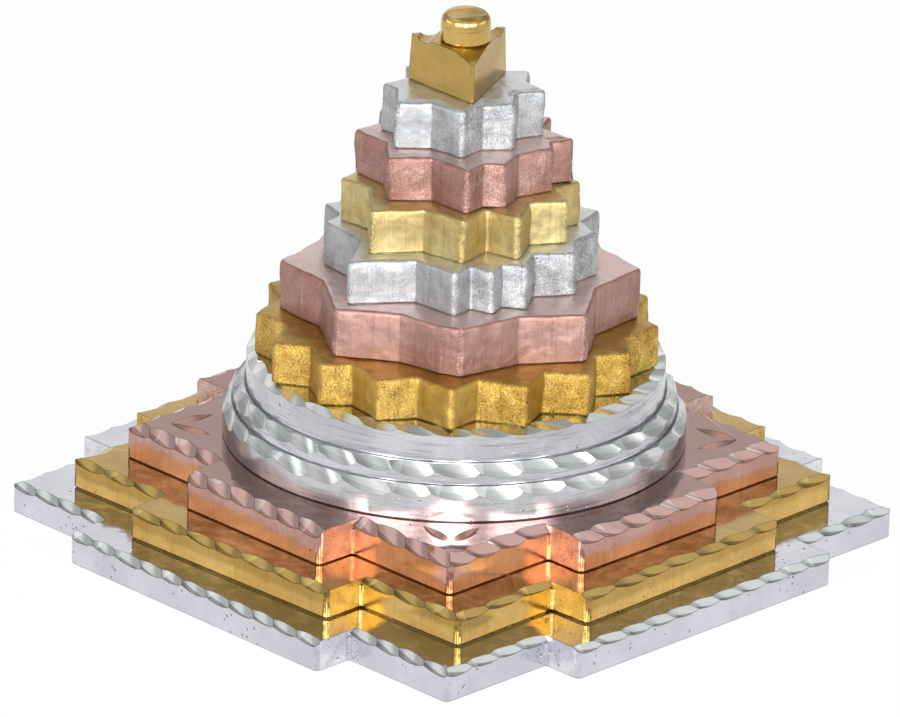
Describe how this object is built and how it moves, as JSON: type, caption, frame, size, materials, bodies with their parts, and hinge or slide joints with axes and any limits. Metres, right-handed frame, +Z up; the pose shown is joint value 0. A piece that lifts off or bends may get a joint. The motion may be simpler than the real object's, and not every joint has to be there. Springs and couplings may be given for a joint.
{
  "type": "meru shri yantra",
  "caption": "Stepped pyramid ornament of stacked polished metal tiers: square gated plates with chiselled edges, a stepped round tier, petal and star tiers, a triangle and a round drop on top",
  "frame": {"origin": "On the axis of the central rod, at the underside of the lowest plate, which rests on the table", "axes": "+Z up along the rod; X and Y run along the sides of the square plates; the corner seen nearest in the picture points between +X and -Y"},
  "size_m": [0.1026, 0.1026, 0.0787],
  "materials": {
    "silver": "silver plated, polished with fine marks and small pits",
    "brass": "gold-coloured brass, polished with fine marks",
    "copper": "copper plated, polished with fine marks",
    "steel": "zinc plated"
  },
  "bodies": {
    "root": {"base_plate_lower": "silver", "base_plate_middle": "brass", "base_plate_upper": "copper", "ring_tier": "silver", "lotus_sixteen": "brass", "lotus_eight": "copper", "star_fourteen": "silver", "star_ten_outer": "brass", "star_ten_inner": "copper", "star_eight": "silver", "triangle_tier": "brass", "bindu": "brass", "through_rod": "steel", "flat_washer": "steel", "lock_washer": "steel", "hex_nut": "steel"}
  },
  "joints": []
}
